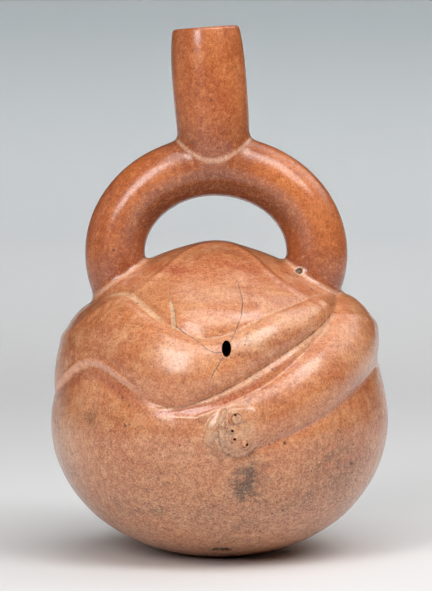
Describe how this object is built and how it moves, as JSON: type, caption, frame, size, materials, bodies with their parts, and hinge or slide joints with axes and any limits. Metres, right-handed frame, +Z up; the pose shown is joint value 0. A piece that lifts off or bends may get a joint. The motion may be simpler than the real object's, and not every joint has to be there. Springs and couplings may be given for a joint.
{
  "type": "stirrup spout vessel",
  "caption": "Round hollow clay bottle with a coiled serpent in low relief, an arched tubular stirrup handle on top and a single upright pouring spout.",
  "frame": {"origin": "middle of the flat resting spot on the vessel's underside", "axes": "+Z up along the body's axis towards the spout, the serpent's head faces -Y, the stirrup spans X"},
  "size_m": [0.1446, 0.1476, 0.2251],
  "materials": {
    "clay": "burnished orange-brown fired clay"
  },
  "bodies": {
    "root": {"vessel": "clay"}
  },
  "joints": []
}
